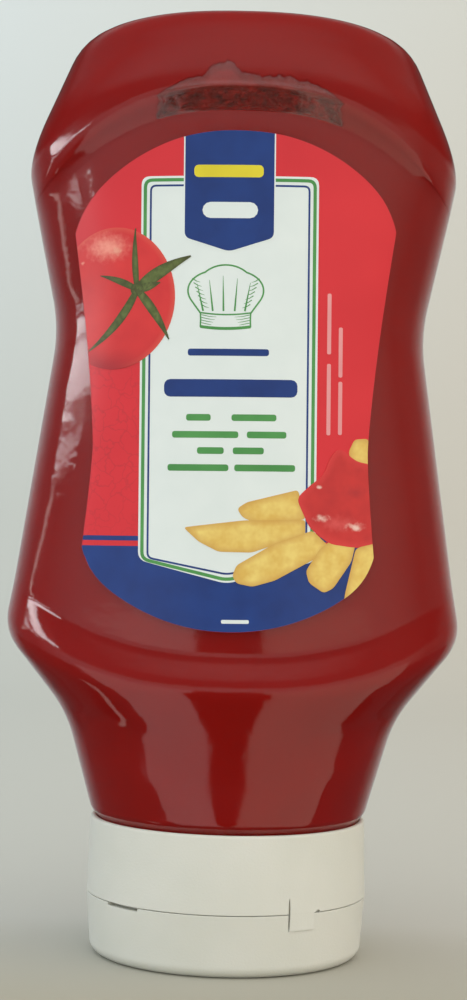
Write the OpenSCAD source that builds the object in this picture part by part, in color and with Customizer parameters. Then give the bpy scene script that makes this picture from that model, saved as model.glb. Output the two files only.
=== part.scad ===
// Squeeze bottle of ketchup that stands upside down on its flip-top cap.
// Millimetres. Z is up, the front label faces -Y, and the origin is the middle of the cap's flat underside.
// Heights named *_h in the bottle sections are measured up from the cap's rim.
// The bottle's belts are arched: each has one height at the bottle's two sides and another at front and back.

/* [Cap] */
// Width of the cap across its widest place
cap_d = 55.4; // [46:0.5:66]
// Height of the lid and the collar together
cap_h = 27; // [22:0.5:34]
// Height of the flip lid that the bottle stands on
lid_h = 12; // [8:0.5:14]
// How much narrower the lid is at its foot
lid_taper = 1.4; // [0:0.1:3]
// Radius round the lid's lower edge
lid_round = 2.4; // [1:0.1:5]
// How much narrower the collar is at its upper edge
collar_taper = 0.8; // [0:0.1:1.4]
// Radius round the collar's upper edge
collar_round = 0.5; // [0.3:0.1:1]
// Width of the collar's upper rim around the bottle
rim_w = 1.5; // [1.2:0.1:3]
// Depth to which the bottle's shoulder sits in the collar
seat_depth = 2.6; // [1:0.1:5]
// Width of the seam between lid and collar
seam_w = 0.2; // [0.15:0.05:1]
// Depth of the seam
seam_depth = 1.6; // [0.6:0.1:3]

/* [Hinge] */
// Direction of the hinge strap around the cap, from the front towards the right
strap_turn = 32; // [0:1:90]
// Width of the hinge strap
strap_w = 5.6; // [3:0.1:9]
// Height of the hinge strap
strap_h = 6; // [3:0.1:8]
// Thickness of the hinge strap
strap_t = 1.4; // [0.8:0.1:2.4]
// Width of the slit beside the strap
slit_w = 0.5; // [0.3:0.1:1]
// Width of the small notch at the strap's other side
notch_w = 1.3; // [0.8:0.1:2.5]
// Height of that notch
notch_h = 1.1; // [0.6:0.1:2]
// Direction of the finger slot, from the front towards the left
slot_turn = 46; // [20:1:120]
// Width of the finger slot
slot_w = 8.6; // [4:0.1:16]
// Height of the finger slot
slot_h = 0.6; // [0.4:0.1:3]

/* [Neck] */
// Outside diameter of the bottle's neck, inside the collar
neck_d = 38; // [30:0.5:42]
// Thickness of the collar's floor under the neck
collar_floor = 3.1; // [1.5:0.1:5]
// How far the heel, the rounded edge just above the collar, stands out over the bottle's seat
heel_out = 1.35; // [0.4:0.05:2.5]
// Height of the heel
heel_h = 1.7; // [1:0.1:4]

/* [Shoulder] */
// Width where the slender throat turns into the shoulder
throat_w = 65.2; // [58:0.2:72]
// Depth at that place
throat_d = 54.6; // [48:0.2:58]
// Height of that place at the sides
throat_side_h = 20.2; // [14:0.2:24]
// Height of that place at the front
throat_front_h = 13; // [8:0.2:18]
// Width of the bottle at its lower bead, its widest place
bead_w = 90.6; // [80:0.5:104]
// Depth of the bottle at its lower bead
bead_d = 58.8; // [56:0.2:66]
// Height of the lower bead at the sides
bead_side_h = 36.6; // [33:0.2:42]
// Height of the lower bead at the front
bead_front_h = 27.6; // [23:0.2:31]

/* [Panel] */
// Width at the groove where the label panel begins
groove_w = 87; // [76:0.2:98]
// Height of the groove at the sides
groove_side_h = 46.6; // [44:0.2:54]
// Height of the groove at the front
groove_front_h = 33.2; // [31:0.2:38]
// Depth of the bottle across the label panel
panel_d = 54.8; // [50:0.2:60]
// Width of the bottle at its waist
waist_w = 72; // [62:0.5:84]
// Height of the waist at the sides
waist_side_h = 96; // [84:0.5:108]
// Width where the panel ends under the upper ridge
crease_w = 81.6; // [72:0.2:92]
// Height of the panel's upper end at the sides
crease_side_h = 118.4; // [112:0.2:121]
// Height of the panel's upper end at the front
crease_front_h = 136.4; // [126:0.2:139]

/* [Crown] */
// Width of the bottle at the upper ridge
ridge_w = 82.8; // [73:0.2:93]
// Depth of the bottle at the upper ridge
ridge_d = 59.2; // [57:0.2:66]
// Height of the upper ridge at the sides
ridge_side_h = 121.4; // [119:0.2:124]
// Height of the upper ridge at the front
ridge_front_h = 140.4; // [138:0.2:142]
// Width of the crown's bulge over the ridge
crown_w = 85.6; // [78:0.2:98]
// Height of that bulge at the sides
crown_side_h = 128.6; // [126:0.2:134]
// Depth of the bottle over the bulge
crown_d = 57.4; // [52:0.2:62]
// Height of that bulge at the front
crown_front_h = 146; // [143:0.2:149]
// Width of the bottle at its base, which points up
base_w = 64.4; // [54:0.5:78]
// Depth of the base
base_d = 48; // [40:0.5:56]
// Height of the base's edge at the sides
base_side_h = 154; // [150:0.2:160]
// Height of the base's edge at the front
base_front_h = 157; // [154:0.2:162]
// Width of the hollow in the middle of the base
push_up_w = 38; // [24:1:48]
// Front to back size of that hollow
push_up_d = 28; // [18:1:34]
// Depth of that hollow below the base's front edge
push_up = 2.4; // [0.5:0.1:6]

/* [Roundings] */
// How far each rounding reaches from its corner, up the heel
heel_blend = 0.8; // [0.4:0.1:2]
// The same between throat and shoulder
throat_blend = 5; // [2:0.5:8]
// The same over the lower bead
bead_blend = 4.2; // [2:0.2:6]
// The same in the groove
groove_blend = 1.3; // [1:0.1:3]
// The same at the waist
waist_blend = 6; // [3:0.5:14]
// The same at the upper ridge and the crease under it
ridge_blend = 1.7; // [1.2:0.1:2.4]
// The same over the crown's bulge
crown_blend = 8; // [4:0.5:9]
// The same at the base's edge
base_blend = 7; // [4:0.5:9]
// The same at the edge of the base's hollow
push_up_blend = 4; // [2:0.5:6]
// Squareness of the throat in plan, where 2 is round
throat_n = 2.15; // [2:0.05:2.4]
// Squareness of the body in plan
body_n = 2.5; // [2.2:0.1:3]
// Squareness of the base in plan
base_n = 2.4; // [2.1:0.1:3]

/* [Walls and filling] */
// Thickness of the bottle's wall
wall = 0.8; // [0.5:0.05:1.4]
// Clearance between the neck and the collar
neck_fit = 0.15; // [0.05:0.05:0.4]
// Clearance between the filling and the bottle's wall
fill_fit = 0.12; // [0.05:0.01:0.3]
// Depth of the air pocket against the front wall, under the crown
pocket_depth = 2.2; // [0.5:0.1:4]
// Width of the air pocket
pocket_w = 38; // [16:1:50]

/* [Labels] */
// Width of a label at its upper corners
label_top_w = 65; // [57:0.5:68]
// Width of a label at its narrowest place
label_waist_w = 52; // [44:0.5:56]
// Height of that place at the front
label_waist_h = 72; // [60:1:100]
// Width of a label at its lower corners
label_foot_w = 59; // [57:0.5:62]
// Distance from the label's upper edge to the panel's end, at the middle
label_top_gap = 4.2; // [2:0.1:10]
// Further drop of the upper edge at the label's corners
label_top_drop = 7; // [0:0.5:14]
// Distance from the label's lower edge to the groove, at the middle
label_foot_gap = 5; // [2:0.1:10]
// Further rise of the lower edge at the label's corners
label_foot_rise = 8; // [0:0.5:14]
// How quickly a label widens from its narrowest place, where 1 is straight
label_flare = 1.3; // [1:0.1:2]
// Size of a label's rounded corners
label_corner = 4; // [1:0.5:6]
// How far the front label sits left of the middle
label_shift = 1.3; // [0:0.1:4]
// Thickness of a label
label_t = 0.25; // [0.15:0.05:0.5]
// Clearance between a label and the panel
label_fit = 0.1; // [0.04:0.02:0.3]

/* [Hidden] */

outer_sides = 48;
inner_sides = 36;
label_columns = 14;
label_rows = 9;

round_n = 2;
centre_w = 6;
strap_inset = 0.2;

seat_d = cap_d - 2 * rim_w;
foot_d = seat_d - 2 * neck_fit;
heel_d = foot_d + 2 * heel_out;
seat_z = -seat_depth;
socket_z = lid_h + collar_floor;
neck_foot_h = socket_z + 2 * neck_fit - cap_h;
push_up_h = base_front_h - push_up;

panel_rise = (crease_front_h - groove_front_h) / (crease_side_h - groove_side_h);
function panel_front_h(side_h) = groove_front_h + (side_h - groove_side_h) * panel_rise;

// One row for each belt of the bottle, from the foot of the neck up to the middle of the base:
// half width, height and blend at the sides, half depth, height and blend at the front, exponent, steps of the blend
function belt(w, w_h, w_blend, d, d_h, d_blend, n, steps) =
    [[w / 2, w_h], w_blend, [d / 2, d_h], d_blend, n, steps];

belts = [
    belt(neck_d, neck_foot_h, 0, neck_d, neck_foot_h, 0, round_n, 0),
    belt(neck_d, seat_z, 0, neck_d, seat_z, 0, round_n, 0),
    belt(foot_d, seat_z, 0, foot_d, seat_z, 0, round_n, 0),
    belt(foot_d, 0, 0, foot_d, 0, 0, round_n, 0),
    belt(heel_d, heel_h, heel_blend, heel_d, heel_h, heel_blend, round_n, 2),
    belt(throat_w, throat_side_h, throat_blend, throat_d, throat_front_h, throat_blend, throat_n, 3),
    belt(bead_w, bead_side_h, bead_blend, bead_d, bead_front_h, bead_blend / 2, body_n, 4),
    belt(groove_w, groove_side_h, groove_blend, panel_d, groove_front_h, groove_blend, body_n, 2),
    belt(waist_w, waist_side_h, waist_blend, panel_d, panel_front_h(waist_side_h), waist_blend, body_n, 4),
    belt(crease_w, crease_side_h, ridge_blend, panel_d, crease_front_h, ridge_blend, body_n, 2),
    belt(ridge_w, ridge_side_h, ridge_blend, ridge_d, ridge_front_h, ridge_blend, body_n, 3),
    belt(crown_w, crown_side_h, crown_blend, crown_d, crown_front_h, crown_blend / 2, body_n, 4),
    belt(base_w, base_side_h, base_blend, base_d, base_front_h, base_blend, base_n, 4),
    belt(push_up_w, push_up_h, push_up_blend, push_up_d, push_up_h, push_up_blend, round_n, 1),
    belt(centre_w, push_up_h, 0, centre_w, push_up_h, 0, round_n, 0),
];

// The point at distance d from corner c towards p, at most half way
function toward(c, p, d) = c + (p - c) * min(1 / 2, d / norm(p - c));

// The curve that rounds corner c between its neighbours p and q
function blended(p, c, q, d, steps) =
    let (a = toward(c, p, d), b = toward(c, q, d))
    [for (i = [0:steps]) let (t = i / steps) (1 - t) * (1 - t) * a + 2 * t * (1 - t) * c + t * t * b];

// The bottle's outline at the sides (part 0) or at the front (part 2), with its corners rounded
function outline(part, finer) = [
    for (i = [0:len(belts) - 1])
    let (row = belts[i], steps = finer ? row[5] : ceil(row[5] / 2))
    each (steps == 0 ? [row[part]]
        : blended(belts[i - 1][part], row[part], belts[i + 1][part], row[part + 1], steps))
];

// The exponent at each point of the outline
function exponents(finer) = [
    for (row = belts)
    let (steps = finer ? row[5] : ceil(row[5] / 2))
    each [for (i = [0:steps]) row[4]]
];

// An outline moved inwards by d, square to itself; its two ends stay level
function inset(line, d) = [
    let (last = len(line) - 1)
    for (i = [0:last])
    let (
        along = line[min(i + 1, last)] - line[max(i - 1, 0)],
        out = [along[1], -along[0]] / norm(along)
    )
    i == 0 ? line[i] - [d, 0] : line[i] - d * out
];

// A ring of points around the bottle from its half width and half depth, each with its height
function ring(side, front, n, sides) = [
    for (i = [0:sides - 1])
    let (
        turn = 360 * i / sides,
        reach = pow(pow(abs(cos(turn)), n) + pow(abs(sin(turn)), n), -1 / n),
        frontness = pow(abs(sin(turn)) * reach, n)
    )
    [
        side[0] * cos(turn) * reach,
        front[0] * sin(turn) * reach,
        cap_h + side[1] + (front[1] - side[1]) * frontness
    ]
];

function body_rings(depth, finer, sides) =
    let (
        side = inset(outline(0, finer), depth),
        front = inset(outline(2, finer), depth),
        n = exponents(finer)
    )
    [for (i = [0:len(side) - 1]) ring(side[i], front[i], n[i], sides)];

// The triangles between the rings of a pile, each ring of count points
function ring_walls(piled, count) = [
    for (j = [0:piled - 2], i = [0:count - 1])
    let (a = j * count + i, b = j * count + (i + 1) % count)
    each [[a, a + count, b], [b, a + count, b + count]]
];

// A closed solid through a pile of rings whose two end rings are level
module skin(rings) {
    count = len(rings[0]);
    last = (len(rings) - 1) * count;
    lower_end = [for (i = [0:count - 1]) i];
    upper_end = [for (i = [count - 1:-1:0]) last + i];
    polyhedron([for (r = rings) each r], concat(ring_walls(len(rings), count), [lower_end], [upper_end]));
}

// A closed sheet through a pile of flat loops, each an outer line and the inner line on its way back
module sheet(loops) {
    count = len(loops[0]);
    last = (len(loops) - 1) * count;
    lower_end = [for (i = [0:count / 2 - 2]) each [[i, i + 1, count - 1 - i], [i + 1, count - 2 - i, count - 1 - i]]];
    upper_end = [for (t = lower_end) [last + t[2], last + t[1], last + t[0]]];
    polyhedron([for (r = loops) each r], concat(ring_walls(len(loops), count), lower_end, upper_end));
}

// The clear bottle, open at its neck
module bottle() {
    inner = body_rings(wall, false, inner_sides);
    drop = [for (p = inner[0]) p - [0, 0, wall]];
    color([0.86, 0.8, 0.78, 0.35])
    difference() {
        skin(body_rings(0, true, outer_sides));
        skin(concat([drop], inner));
    }
}

// How far the filling stands back from the wall at a point: a pocket of air under the front of the crown
function pocket(p) =
    let (
        middle_z = cap_h + (crease_front_h + crown_front_h) / 2,
        half_h = (crown_front_h - crease_front_h) / 2 + wall
    )
    p[1] < 0 && abs(p[0]) < pocket_w / 2 && abs(p[2] - middle_z) < half_h ? pocket_depth : 0;

// The ketchup, out to the inside of the wall
module ketchup() {
    rings = body_rings(wall + fill_fit, false, inner_sides);
    color([0.5, 0.1, 0.08])
    skin([for (r = rings) [for (p = r) p + [0, pocket(p), 0]]]);
}

panel_h = crease_front_h - groove_front_h;
waist_share = (label_waist_h - groove_front_h) / panel_h;

// The half width of a label at a share t of the panel's height
function label_half(t) =
    let (
        end_w = t < waist_share ? label_foot_w : label_top_w,
        span = t < waist_share ? waist_share : 1 - waist_share
    )
    (label_waist_w + (end_w - label_waist_w) * pow(abs(t - waist_share) / span, label_flare)) / 2;

// The share of the panel's height at which a label ends, above and below, at u from -1 to 1 across
function corner_cut(u) = label_corner * pow(abs(u), 14);
function label_top(u) = 1 - (label_top_gap + label_top_drop * u * u + corner_cut(u)) / panel_h;
function label_foot(u) = (label_foot_gap + label_foot_rise * u * u + corner_cut(u)) / panel_h;

// The panel's outline between its groove and its crease: height, then half width
panel_line = [for (p = outline(0, true)) if (p[1] > bead_side_h && p[1] < crown_side_h) [p[1], p[0]]];

// The point of a label at u across and v up, standing off the panel by lift
function label_point(u, v, shift, lift) =
    let (
        t = label_foot(u) + v * (label_top(u) - label_foot(u)),
        x = u * label_half(t) - shift,
        side_h = groove_side_h + t * (crease_side_h - groove_side_h),
        half_w = lookup(side_h, panel_line) + lift,
        frontness = 1 - pow(abs(x) / half_w, body_n)
    )
    [
        x,
        -(panel_d / 2 + lift) * pow(frontness, 1 / body_n),
        cap_h + side_h + (panel_front_h(side_h) - side_h) * frontness
    ];

// A thin sheet that follows the front of the panel
module label(shift) {
    across = [for (i = [0:label_columns]) let (a = 2 * i / label_columns - 1) a * (1.25 - 0.25 * a * a)];
    sheet([
        for (i = [0:label_rows])
        let (v = i / label_rows)
        concat(
            [for (u = across) label_point(u, v, shift, label_fit + label_t)],
            [for (k = [label_columns:-1:0]) label_point(across[k], v, shift, label_fit)]
        )
    ]);
}

module label_front() {
    color([0.8, 0.22, 0.25]) label(label_shift);
}

module label_back() {
    color([0.8, 0.22, 0.25]) rotate(180) label(0);
}

// The quarter circle that rounds a turned edge: centre, radius, first angle and last angle
function edge_round(c, r, from, to) =
    [for (i = [0:6]) let (a = from + (to - from) * i / 6) c + r * [cos(a), sin(a)]];

// Puts a cutter at the cap's wall, turned from the front
module at_wall(turn, z) {
    rotate(turn) translate([0, -cap_d / 2, z]) children();
}

// A block of the hinge strap's size, or with play the pocket that it lies in, standing out of the wall
module strap(play) {
    at_wall(strap_turn, lid_h - strap_h / 2 - play)
        translate([-strap_w / 2 - play, -1, 0])
            cube([strap_w + 2 * play, 1 + strap_t + play, strap_h + 2 * play]);
}

// The collar, which holds the bottle by its neck
module cap_collar() {
    foot_z = lid_h + seam_w;
    collar_line = concat(
        [[0, lid_h], [cap_d / 2 - seam_depth, lid_h], [cap_d / 2 - seam_depth, foot_z], [cap_d / 2, foot_z]],
        edge_round([(cap_d - collar_taper) / 2 - collar_round, cap_h - collar_round], collar_round, 0, 90),
        [[seat_d / 2, cap_h], [seat_d / 2, cap_h - seat_depth - neck_fit], [0, cap_h - seat_depth - neck_fit]]
    );
    color([0.86, 0.86, 0.82])
    difference() {
        union() {
            rotate_extrude($fn = 96) polygon(collar_line);
            intersection() {
                strap(0);
                cylinder(h = cap_h, d = cap_d - strap_inset, $fn = 96);
            }
        }
        translate([0, 0, socket_z])
            cylinder(h = cap_h, d = neck_d + 2 * neck_fit, $fn = 96);
        at_wall(strap_turn, lid_h)
            translate([-strap_w / 2 - slit_w, -1, 0]) cube([slit_w, strap_t + 1, strap_h / 2]);
        at_wall(strap_turn, lid_h)
            translate([strap_w / 2, -1, 0]) cube([notch_w, strap_t + 1, notch_h]);
    }
}

// The lid that the bottle stands on, closed
module cap_lid() {
    foot_d = cap_d - lid_taper;
    lid_line = concat(
        [[0, 0]],
        edge_round([foot_d / 2 - lid_round, lid_round], lid_round, -90, 0),
        [[cap_d / 2, lid_h], [0, lid_h]]
    );
    color([0.86, 0.86, 0.82])
    difference() {
        rotate_extrude($fn = 96) polygon(lid_line);
        strap(seam_w);
        at_wall(strap_turn, lid_h - strap_h / 2)
            translate([-strap_w / 2 - slit_w, -1, 0]) cube([slit_w + 0.1, strap_t + 1, strap_h]);
        at_wall(-slot_turn, lid_h - slot_h)
            translate([-slot_w / 2, -1, 0]) cube([slot_w, seam_depth + 1.2, slot_h + 1]);
    }
}

bottle();
ketchup();
label_front();
label_back();
cap_collar();
cap_lid();
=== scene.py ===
import math

import bpy
from mathutils import Matrix, Vector, noise


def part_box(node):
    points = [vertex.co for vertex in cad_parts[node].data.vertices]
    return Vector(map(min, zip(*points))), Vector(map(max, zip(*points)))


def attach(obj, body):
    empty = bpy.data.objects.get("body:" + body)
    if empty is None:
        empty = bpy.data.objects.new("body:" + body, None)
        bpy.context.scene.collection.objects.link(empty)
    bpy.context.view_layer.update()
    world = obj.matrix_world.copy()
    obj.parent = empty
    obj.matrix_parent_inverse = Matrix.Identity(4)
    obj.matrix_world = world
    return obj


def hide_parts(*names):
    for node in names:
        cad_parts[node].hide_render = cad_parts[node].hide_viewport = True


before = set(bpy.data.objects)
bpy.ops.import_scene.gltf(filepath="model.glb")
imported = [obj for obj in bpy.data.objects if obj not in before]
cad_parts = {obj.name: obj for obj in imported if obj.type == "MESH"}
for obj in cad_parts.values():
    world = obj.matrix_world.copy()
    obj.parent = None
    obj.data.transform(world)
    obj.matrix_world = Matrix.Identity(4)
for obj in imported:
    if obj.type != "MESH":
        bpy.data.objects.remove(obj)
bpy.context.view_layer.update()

MM = 0.001


# ------------------------------------------------------------------------------
# The clear bottle
# Blow-moulded in one piece of clear plastic and stood on its head. Its belts are arched: each runs at one
# height past the two sides and at another past the front and back. The neck is pressed into the collar.

rim_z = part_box("cap_collar")[1][2] / MM
wall = 0.8
belt_steps = 8
longest_step = 2.6
wall_sides = 192

# Half width, height and reach of the rounding at the sides; the same at the front; squareness in plan.
# Heights are measured up from the collar's rim, in millimetres.
belts = [
    (19.0, -11.6, 0.0, 19.0, -11.6, 0.0, 2.0),     # foot of the neck
    (19.0, -2.6, 0.0, 19.0, -2.6, 0.0, 2.0),       # top of the neck
    (26.05, -2.6, 0.0, 26.05, -2.6, 0.0, 2.0),     # seat in the collar
    (26.05, 0.0, 0.0, 26.05, 0.0, 0.0, 2.0),       # the collar's rim
    (27.4, 1.7, 0.8, 27.4, 1.7, 0.8, 2.0),         # heel
    (32.6, 20.2, 5.0, 27.3, 13.0, 5.0, 2.15),      # throat
    (45.3, 36.6, 4.2, 29.4, 27.6, 2.1, 2.5),       # lower bead
    (43.5, 46.6, 1.3, 27.4, 33.2, 1.3, 2.5),       # groove under the panel
    (36.0, 96.0, 6.0, 27.4, 104.2, 6.0, 2.5),      # waist
    (40.8, 118.4, 1.7, 27.4, 136.4, 1.7, 2.5),     # crease over the panel
    (41.4, 121.4, 1.7, 29.6, 140.4, 1.7, 2.5),     # upper ridge
    (42.8, 128.6, 8.0, 28.7, 146.0, 4.0, 2.5),     # crown
    (32.2, 154.0, 7.0, 24.0, 157.0, 7.0, 2.4),     # edge of the base, on top
    (19.0, 154.6, 4.0, 14.0, 154.6, 4.0, 2.0),     # hollow in the base
    (0.0, 154.6, 0.0, 0.0, 154.6, 0.0, 2.0),       # its middle
]


def rounded(before, corner, after, reach, steps):
    """The curve that rounds a corner, from reach before it to reach after it."""
    start = corner + (before - corner) * min(0.5, reach / (before - corner).length)
    end = corner + (after - corner) * min(0.5, reach / (after - corner).length)
    shares = [i / steps for i in range(steps + 1)]
    return [start * (1 - t) ** 2 + corner * 2 * t * (1 - t) + end * t * t for t in shares]


def wall_lines():
    """The wall's outline at the sides and at the front, point by point, with the squareness at each."""
    side, front, squareness = [], [], []
    for i, belt in enumerate(belts):
        if belt[2] == 0:
            side.append(Vector(belt[0:2]))
            front.append(Vector(belt[3:5]))
            squareness.append(belt[6])
            continue
        before, after = belts[i - 1], belts[i + 1]
        side += rounded(Vector(before[0:2]), Vector(belt[0:2]), Vector(after[0:2]), belt[2], belt_steps)
        front += rounded(Vector(before[3:5]), Vector(belt[3:5]), Vector(after[3:5]), belt[5], belt_steps)
        squareness += [belt[6]] * (belt_steps + 1)
    return side, front, squareness


def divided(side, front, squareness):
    """The same outline with its long straight stretches divided evenly."""
    lines = [(side[0], front[0], squareness[0])]
    for i in range(1, len(side)):
        length = max((side[i] - side[i - 1]).length, (front[i] - front[i - 1]).length)
        count = max(1, math.ceil(length / longest_step))
        for k in range(1, count + 1):
            t = k / count
            lines.append((side[i - 1].lerp(side[i], t), front[i - 1].lerp(front[i], t),
                          squareness[i - 1] * (1 - t) + squareness[i] * t))
    return lines


def inset(line, depth):
    """An outline moved square to itself into the bottle."""
    moved = []
    for i, point in enumerate(line):
        along = line[min(i + 1, len(line) - 1)] - line[max(i - 1, 0)]
        outward = Vector((along.y, -along.x)).normalized()
        step = Vector((1, 0)) if i == 0 else outward
        moved.append(Vector((max(0, point.x - depth * step.x), point.y - depth * step.y)))
    return moved


def wall_rows(depth):
    rows = divided(*wall_lines())
    side = inset([row[0] for row in rows], depth)
    front = inset([row[1] for row in rows], depth)
    return [(side[i], front[i], rows[i][2]) for i in range(len(rows))]


def wall_point(row, turn):
    """The point of a row of the wall at an angle around the bottle, in metres."""
    side, front, n = row
    c, s = math.cos(turn), math.sin(turn)
    reach = (abs(c) ** n + abs(s) ** n) ** (-1 / n)
    frontness = (abs(s) * reach) ** n
    height = rim_z + side.y + (front.y - side.y) * frontness
    return Vector((side.x * c * reach, front.x * s * reach, height)) * MM


def only(piece):
    """Makes one object the only one selected, and the active one."""
    bpy.ops.object.select_all(action="DESELECT")
    piece.select_set(True)
    bpy.context.view_layer.objects.active = piece


def open_all(piece):
    """Opens a piece for editing with all of it selected."""
    only(piece)
    bpy.ops.object.mode_set(mode="EDIT")
    bpy.ops.mesh.select_all(action="SELECT")


def named(piece, name):
    """Gives a piece and its mesh their name."""
    piece.name = name
    piece.data.name = name
    return piece


def new_grid(name, across, up):
    """A flat sheet of across by up faces, each point keeping its place across and up, from 0 to 1."""
    bpy.ops.mesh.primitive_grid_add(x_subdivisions=across, y_subdivisions=up, size=2)
    piece = named(bpy.context.object, name)
    places = [((v.co.x + 1) / 2, (v.co.y + 1) / 2) for v in piece.data.vertices]
    return piece, places


def close_seams(piece):
    """Merges what lies together and turns the faces outwards."""
    open_all(piece)
    bpy.ops.mesh.remove_doubles(threshold=1e-7)
    bpy.ops.mesh.delete_loose()
    bpy.ops.mesh.select_all(action="SELECT")
    bpy.ops.mesh.normals_make_consistent(inside=False)
    bpy.ops.object.mode_set(mode="OBJECT")


def apply_all(piece):
    only(piece)
    for modifier in list(piece.modifiers):
        bpy.ops.object.modifier_apply(modifier=modifier.name)


def smooth(piece, angle=40):
    only(piece)
    bpy.ops.object.shade_smooth_by_angle(angle=math.radians(angle))


def roll_up(name, rows, sides, heights=False):
    """A sheet rolled into the bottle's form along the rows, closed along its seam and at its poles."""
    piece, places = new_grid(name, sides, len(rows) - 1)
    height_up = piece.data.attributes.new("height_up_front", "FLOAT", "POINT") if heights else None
    for vertex, (across, up) in zip(piece.data.vertices, places):
        row = rows[round(up * (len(rows) - 1))]
        turn = 2 * math.pi * (round(across * sides) % sides) / sides
        vertex.co = wall_point(row, turn)
        if heights:
            height_up.data[vertex.index].value = row[1].y
    close_seams(piece)
    return piece


def thicken(piece, thickness):
    """Gives a sheet its thickness, in millimetres, behind the face that it shows."""
    solid = piece.modifiers.new("thickness", "SOLIDIFY")
    solid.thickness = thickness * MM
    solid.offset = -1
    solid.use_even_offset = True
    apply_all(piece)


bottle = roll_up("clear_bottle", wall_rows(0), wall_sides)
thicken(bottle, wall)
smooth(bottle)


def new_material(name):
    """A material with its own Principled shader."""
    material = bpy.data.materials.new(name)
    material.use_nodes = True
    tree = material.node_tree
    return material, tree, tree.nodes["Principled BSDF"]


def give(tree, socket, value):
    """Gives a node's input a value, or joins it to the output of another node."""
    if isinstance(value, bpy.types.NodeSocket):
        tree.links.new(value, socket)
    else:
        socket.default_value = value


def feed(tree, made, **values):
    """Gives a node's inputs their values; the input Base Color is called Base_Color here."""
    for key, value in values.items():
        give(tree, made.inputs[key.replace("_", " ")], value)


def node(tree, kind, **settings):
    """A shader node; a setting called in_Scale is for its input Scale."""
    made = tree.nodes.new("ShaderNode" + kind)
    for key, value in settings.items():
        if key.startswith("in_"):
            feed(tree, made, **{key[3:]: value})
        else:
            setattr(made, key, value)
    return made


def linear(red, green, blue):
    """A colour given as screen values from 0 to 255."""
    def one(v):
        v /= 255
        return v / 12.92 if v <= 0.04045 else ((v + 0.055) / 1.055) ** 2.4
    return (one(red), one(green), one(blue), 1)


def new_group(name, inputs, outputs):
    """An empty shader group with its sockets, and its two end nodes."""
    group = bpy.data.node_groups.new(name, "ShaderNodeTree")
    for label, kind, value in inputs:
        socket = group.interface.new_socket(name=label, in_out="INPUT", socket_type=kind)
        socket.default_value = value
    for label, kind in outputs:
        group.interface.new_socket(name=label, in_out="OUTPUT", socket_type=kind)
    return group, group.nodes.new("NodeGroupInput"), group.nodes.new("NodeGroupOutput")


def add_group(tree, group, **values):
    made = node(tree, "Group", node_tree=group)
    feed(tree, made, **values)
    return made


def worked(tree, kind, operation, *values, out="Value"):
    """The result of a maths node whose inputs are numbers or the outputs of other nodes."""
    made = node(tree, kind, operation=operation)
    for i, value in enumerate(values):
        give(tree, made.inputs[i], value)
    return made.outputs[out]


def make_surface_grain():
    """Slow shades and fine grain of a moulded or printed surface, both with their sizes in millimetres."""
    group, start, end = new_group(
        "surface_grain",
        [("Shades", "NodeSocketFloat", 12.0), ("Grain", "NodeSocketFloat", 0.5),
         ("Strength", "NodeSocketFloat", 0.1)],
        [("Shade", "NodeSocketFloat"), ("Grain", "NodeSocketFloat"), ("Normal", "NodeSocketVector")])
    place = node(group, "TexCoord").outputs["Object"]
    found = []
    for label, detail in (("Shades", 2.0), ("Grain", 3.0)):
        cells = worked(group, "Math", "DIVIDE", 1 / MM, start.outputs[label])
        spread = node(group, "TexNoise", in_Vector=place, in_Scale=cells, in_Detail=detail, in_Roughness=0.6)
        found.append(spread.outputs["Fac"])
    bump = node(group, "Bump", in_Distance=0.0001, in_Strength=start.outputs["Strength"], in_Height=found[1])
    feed(group, end, Shade=found[0], Grain=found[1], Normal=bump.outputs["Normal"])
    return group


surface_grain = make_surface_grain()


def ranged(tree, value, low, high, start=0.3, end=0.7):
    """Spreads a value that mostly lies from start to end over low to high."""
    made = node(tree, "MapRange", in_Value=value, in_From_Min=start, in_From_Max=end,
                in_To_Min=low, in_To_Max=high)
    return made.outputs["Result"]


def mixed(tree, share, first, second, blend="MIX"):
    """Two colours, or the colours of two sockets, mixed by a share."""
    made = node(tree, "Mix", data_type="RGBA", blend_type=blend)
    for slot, value in ((0, share), (6, first), (7, second)):
        give(tree, made.inputs[slot], value)
    return made.outputs[2]


def clear_plastic():
    """Clear plastic, a little wavy from the blowing and a little dull from handling."""
    material, tree, shader = new_material("clear blown plastic")
    grain = add_group(tree, surface_grain, Shades=20.0, Grain=9.0, Strength=0.0)
    tint = mixed(tree, grain.outputs["Shade"], (0.985, 0.975, 0.965, 1), (0.97, 0.96, 0.945, 1))
    bump = node(tree, "Bump", in_Strength=0.35, in_Distance=0.00028, in_Height=grain.outputs["Grain"])
    feed(tree, shader, Base_Color=tint, Roughness=ranged(tree, grain.outputs["Shade"], 0.05, 0.12),
         Transmission_Weight=1.0, IOR=1.5, Normal=bump.outputs["Normal"])
    return material


bottle.data.materials.append(clear_plastic())
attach(bottle, "root")
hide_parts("bottle")


# ------------------------------------------------------------------------------
# The ketchup
# Thick red sauce that fills the bottle. It is wet against the wall all over, apart from a shallow pocket of
# air at the front, on and above the upper ridge. It reaches just into the wall, so that no gap shows.

bite = 0.25
filling_sides = 240
ketchup = roll_up("ketchup_filling", wall_rows(wall - bite), filling_sides, heights=True)

pocket_foot = belts[9][4] - 0.3
pocket_ridge = belts[10][4]
pocket_half = 17.4
pocket_middle = 0.8
pocket_reach = 20


def over_pocket(point):
    """Whether a point of the filling lies at the front, where the pocket may be."""
    return point.y < 0 and abs(point.x) < pocket_reach * MM


def ridge_share(height):
    """1 up to the ridge and 0 above it, with a short fade between."""
    return max(0, min(1, (pocket_ridge + 0.2 - height) / 0.5))


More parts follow.
